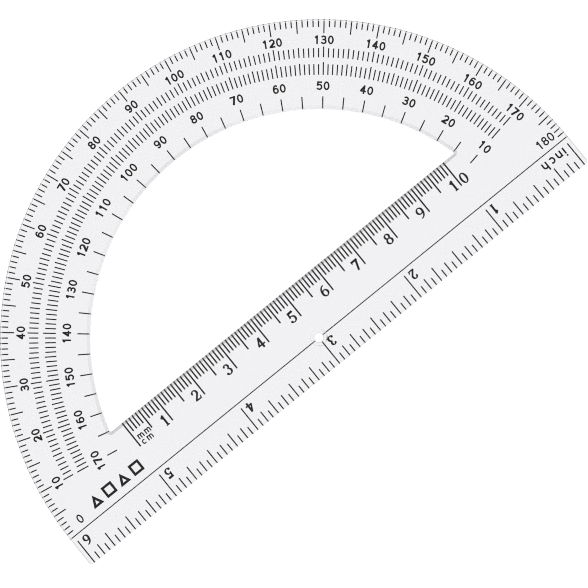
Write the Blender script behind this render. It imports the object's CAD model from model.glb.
from math import cos, radians, sin

import bpy
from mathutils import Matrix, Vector


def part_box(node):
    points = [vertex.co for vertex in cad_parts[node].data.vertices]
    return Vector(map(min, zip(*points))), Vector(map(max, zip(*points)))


# The clear six-inch protractor, lying face up on a pale floor. Metres, in the CAD's frame: the
# centre hole is the origin, +X runs along the base line and +Z points up out of the read face.

# ---- camera, nearly straight above
CAMERA_LENS = 101.1             # mm on a 36 mm sensor
CAMERA_PLACE = (0.0015, -0.0010, 0.3998)
CAMERA_TURN = (1.494, 1.124, -39.058)    # degrees about X, Y and Z

# ---- light and floor
FLOOR_SIZE = 6.0
FLOOR_GAP = 0.00001             # between the floor and the plate's underside
SOFTBOX_SIZE = 0.9
SOFTBOX_REACH = 1.5             # from the object to each softbox
SOFTBOX_ELEVATION = 55
SOFTBOX_AZIMUTHS = (45, 135, 225, 315)
SOFTBOX_POWER = 7.7             # watts each
ROOM_LIGHT = 0.12               # grey of the dim room above
BACKDROP = 0.93                 # what the camera sees of the room
BOARD_WHITE = 0.93
BOARD_ROUGHNESS = 0.9
PIXEL_FILTER = 1.0              # pixels

# ---- clear plastic: a face's tint follows its flatness, 0 on an upright wall and 1 on a level
# face. The tints of the bevels were matched to the photo. Patterns are in bumps to the metre.
PLASTIC_IOR = 1.49
PLASTIC_TINT = (0.938, 0.938, 0.944, 1)
WALL_TINT = (0.93, 0.935, 0.94, 1)
BEVEL_TINT = (0.5, 0.505, 0.515, 1)
RULED_TINT = (0.38, 0.385, 0.395, 1)
WALL_FLATNESS = 0.3
RULED_FLATNESS = 0.5
BEVEL_FLATNESS = 0.7
FACE_FLATNESS = 0.98
RULED_REACH = 0.0005            # from the centimetre ticks' ends, across the window's ruling edge
RULED_FACING = 0.5              # how far the ruling edge's bevel faces +Y, at least
RULED_STEP = 0.2                # down the tints, on the bevel that lines are ruled along
PALE_STEP = 0.2                 # up the tints, on a bevel that faces the base line
EDGE_FROST = 0.6                # roughness of the walls, fading to none on the faces
SCUFF_SCALE = 900.0
SCUFF_DETAIL = (4.0, 0.7)       # the noise's detail and roughness
SCUFF_RANGE = (0.55, 0.8)       # of the noise, from polished to scuffed
SCUFF_ROUGHNESS = (0.008, 0.06)
WAVE_SCALE = 45.0
WAVE_HEIGHT = 0.00003
WAVE_STRENGTH = 0.5
SHADOW_TINT = (0.975, 0.975, 0.98, 1)

# ---- ink
INK_DARK = (0.001, 0.001, 0.0011, 1)
INK_PALE = (0.014, 0.014, 0.0145, 1)
INK_ROUGHNESS = (0.42, 0.62)
INK_SHINE = 0.3
COVER_SCALE = 2600.0
COVER_DETAIL = (3.0, 0.6)       # the noise's detail and roughness
COVER_TINTED = (0.4, 0.75)      # of the noise, from dark to pale
COVER_ROUGHENED = (0.3, 0.7)
GRAIN_SCALE = 9000.0
GRAIN_HEIGHT = 0.00001
GRAIN_STRENGTH = 0.4


class Tree:
    """A material's node tree, emptied, with short calls to add and link nodes."""

    def __init__(self, name):
        self.material = bpy.data.materials.new(name)
        self.material.use_nodes = True
        self.nodes = self.material.node_tree.nodes
        self.nodes.clear()

    def add(self, kind, **values):
        """Adds a node and sets its properties."""
        node = self.nodes.new("ShaderNode" + kind)
        for key, value in values.items():
            setattr(node, key, value)
        return node

    def link(self, start, end):
        """Links an output socket to an input socket."""
        self.material.node_tree.links.new(start, end)

    def math(self, operation, *values):
        """Works out one value from sockets and numbers."""
        node = self.add("Math", operation=operation)
        for socket, value in zip(node.inputs, values):
            if isinstance(value, bpy.types.NodeSocket):
                self.link(value, socket)
            else:
                socket.default_value = value
        return node.outputs["Value"]

    def split(self, vector):
        """The sockets of a vector's three parts."""
        node = self.add("SeparateXYZ")
        self.link(vector, node.inputs["Vector"])
        return node.outputs

    def object_point(self):
        """The socket with the point on the surface, in metres."""
        return self.add("TexCoord").outputs["Object"]

    def noise(self, point, scale, detail=2.0, roughness=0.5):
        """A noise pattern with scale bumps in each metre, from 0 to 1."""
        node = self.add("TexNoise")
        node.inputs["Scale"].default_value = scale
        node.inputs["Detail"].default_value = detail
        node.inputs["Roughness"].default_value = roughness
        self.link(point, node.inputs["Vector"])
        return node.outputs["Fac"]

    def ranged(self, value, low, high, to_low, to_high):
        """Maps a value from one range to another, clamped."""
        node = self.add("MapRange")
        self.link(value, node.inputs["Value"])
        for name, number in (("From Min", low), ("From Max", high),
                             ("To Min", to_low), ("To Max", to_high)):
            node.inputs[name].default_value = number
        return node.outputs["Result"]

    def ramp(self, value, stops):
        """A colour that follows value through stops, from value to colour, lowest first."""
        node = self.add("ValToRGB")
        marks = node.color_ramp.elements
        while len(marks) < len(stops):
            marks.new(0.5)
        for mark, (position, colour) in zip(marks, stops.items()):
            mark.position = position
            mark.color = colour
        self.link(value, node.inputs["Fac"])
        return node.outputs["Color"]

    def bump(self, height, distance, strength):
        """A normal bent by a height pattern that rises distance metres at full strength."""
        node = self.add("Bump")
        node.inputs["Strength"].default_value = strength
        node.inputs["Distance"].default_value = distance
        self.link(height, node.inputs["Height"])
        return node.outputs["Normal"]

    def finish(self, surface):
        """Adds the output and returns the material."""
        self.link(surface, self.add("OutputMaterial").inputs["Surface"])
        return self.material


def clear_plastic():
    """Water-clear moulded plastic, faintly scuffed, with frosted walls and bevels. The bevel that
    lines are ruled along is the greyest, and those that face the base line are the palest."""
    tree = Tree("clear_plastic_look")
    point = tree.object_point()
    normal = tree.split(tree.add("NewGeometry").outputs["True Normal"])
    flatness = tree.math("ABSOLUTE", normal["Z"])
    tick_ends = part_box("millimetre_ticks")[1].y
    at_edge = tree.math("COMPARE", tree.split(point)["Y"], tick_ends, RULED_REACH)
    ruled = tree.math("MULTIPLY", at_edge, tree.math("GREATER_THAN", normal["Y"], RULED_FACING))
    paler = tree.math("MAXIMUM", tree.math("MULTIPLY", normal["Y"], -PALE_STEP), 0.0)
    greyer = tree.math("MULTIPLY", ruled, RULED_STEP)
    tone = tree.math("SUBTRACT", tree.math("ADD", flatness, paler), greyer)
    stops = {WALL_FLATNESS: WALL_TINT, RULED_FLATNESS: RULED_TINT,
             BEVEL_FLATNESS: BEVEL_TINT, FACE_FLATNESS: PLASTIC_TINT}
    plastic = tree.add("BsdfPrincipled")
    plastic.inputs["IOR"].default_value = PLASTIC_IOR
    plastic.inputs["Transmission Weight"].default_value = 1.0
    tree.link(tree.ramp(tone, stops), plastic.inputs["Base Color"])
    scuffs = tree.ranged(tree.noise(point, SCUFF_SCALE, *SCUFF_DETAIL), *SCUFF_RANGE, *SCUFF_ROUGHNESS)
    frost = tree.ranged(flatness, WALL_FLATNESS, FACE_FLATNESS, EDGE_FROST, 0.0)
    tree.link(tree.math("ADD", frost, scuffs), plastic.inputs["Roughness"])
    waves = tree.noise(point, WAVE_SCALE)
    tree.link(tree.bump(waves, WAVE_HEIGHT, WAVE_STRENGTH), plastic.inputs["Normal"])
    passing = tree.add("BsdfTransparent")
    passing.inputs["Color"].default_value = SHADOW_TINT
    path = tree.add("LightPath")
    mix = tree.add("MixShader")
    either = tree.math("MAXIMUM", path.outputs["Is Shadow Ray"], path.outputs["Is Diffuse Ray"])
    tree.link(either, mix.inputs["Fac"])
    tree.link(plastic.outputs["BSDF"], mix.inputs[1])
    tree.link(passing.outputs["BSDF"], mix.inputs[2])
    return tree.finish(mix.outputs["Shader"])


def black_ink():
    """Black stamping ink: matte, a little uneven in cover, with a fine grain."""
    tree = Tree("black_ink_look")
    point = tree.object_point()
    cover = tree.noise(point, COVER_SCALE, *COVER_DETAIL)
    tints = dict(zip(COVER_TINTED, (INK_DARK, INK_PALE)))
    ink = tree.add("BsdfPrincipled")
    tree.link(tree.ramp(cover, tints), ink.inputs["Base Color"])
    tree.link(tree.ranged(cover, *COVER_ROUGHENED, *INK_ROUGHNESS), ink.inputs["Roughness"])
    grain = tree.noise(point, GRAIN_SCALE)
    tree.link(tree.bump(grain, GRAIN_HEIGHT, GRAIN_STRENGTH), ink.inputs["Normal"])
    ink.inputs["Specular IOR Level"].default_value = INK_SHINE
    return tree.finish(ink.outputs["BSDF"])


def pale_floor():
    """A plain matt white board."""
    tree = Tree("pale_floor")
    board = tree.add("BsdfPrincipled")
    board.inputs["Base Color"].default_value = (BOARD_WHITE, BOARD_WHITE, BOARD_WHITE, 1)
    board.inputs["Roughness"].default_value = BOARD_ROUGHNESS
    board.inputs["Specular IOR Level"].default_value = 0.0
    return tree.finish(board.outputs["BSDF"])


def floor():
    """The floor, just under the plate."""
    half = FLOOR_SIZE / 2
    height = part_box("plate")[0].z - FLOOR_GAP
    mesh = bpy.data.meshes.new("floor")
    sides = ((-half, -half), (half, -half), (half, half), (-half, half))
    corners = [(x, y, height) for x, y in sides]
    mesh.from_pydata(corners, [], [(0, 1, 2, 3)])
    board = bpy.data.objects.new("floor", mesh)
    board.data.materials.append(pale_floor())
    bpy.context.collection.objects.link(board)


def softbox(azimuth):
    """One square softbox, aimed at the object."""
    lamp = bpy.data.lights.new(f"softbox_{azimuth}", "AREA")
    lamp.size = SOFTBOX_SIZE
    lamp.energy = SOFTBOX_POWER
    light = bpy.data.objects.new(lamp.name, lamp)
    turn, rise = radians(azimuth), radians(SOFTBOX_ELEVATION)
    way = Vector((cos(rise) * cos(turn), cos(rise) * sin(turn), sin(rise)))
    light.location = way * SOFTBOX_REACH
    light.rotation_euler = way.to_track_quat("Z", "Y").to_euler()
    bpy.context.collection.objects.link(light)


def room():
    """A dim grey room that the camera sees as a pale backdrop."""
    world = bpy.data.worlds.new("room")
    world.use_nodes = True
    nodes, links = world.node_tree.nodes, world.node_tree.links
    nodes.clear()
    dim = nodes.new("ShaderNodeBackground")
    dim.inputs["Color"].default_value = (ROOM_LIGHT, ROOM_LIGHT, ROOM_LIGHT, 1)
    pale = nodes.new("ShaderNodeBackground")
    pale.inputs["Color"].default_value = (BACKDROP, BACKDROP, BACKDROP, 1)
    path = nodes.new("ShaderNodeLightPath")
    mix = nodes.new("ShaderNodeMixShader")
    links.new(path.outputs["Is Camera Ray"], mix.inputs["Fac"])
    links.new(dim.outputs["Background"], mix.inputs[1])
    links.new(pale.outputs["Background"], mix.inputs[2])
    links.new(mix.outputs["Shader"], nodes.new("ShaderNodeOutputWorld").inputs["Surface"])
    bpy.context.scene.world = world


def camera():
    """The camera, with no shift and no depth of field."""
    data = bpy.data.cameras.new("camera")
    data.lens = CAMERA_LENS
    eye = bpy.data.objects.new("camera", data)
    eye.location = CAMERA_PLACE
    eye.rotation_euler = [radians(turn) for turn in CAMERA_TURN]
    bpy.context.collection.objects.link(eye)
    bpy.context.scene.camera = eye


def dress(node, material):
    """Gives a CAD node one material."""
    for slot in node.material_slots:
        slot.material = material


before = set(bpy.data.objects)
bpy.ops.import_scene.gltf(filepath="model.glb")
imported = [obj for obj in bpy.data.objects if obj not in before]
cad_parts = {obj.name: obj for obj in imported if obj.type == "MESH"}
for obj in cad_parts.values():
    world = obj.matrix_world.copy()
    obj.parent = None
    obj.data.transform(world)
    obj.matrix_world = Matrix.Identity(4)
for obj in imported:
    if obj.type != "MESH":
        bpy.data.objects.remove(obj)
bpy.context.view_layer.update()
bpy.context.scene.view_settings.view_transform = "Standard"
bpy.context.scene.cycles.filter_width = PIXEL_FILTER
camera()
room()
floor()
for azimuth in SOFTBOX_AZIMUTHS:
    softbox(azimuth)
plastic, ink = clear_plastic(), black_ink()
for name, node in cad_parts.items():
    dress(node, plastic if name == "plate" else ink)
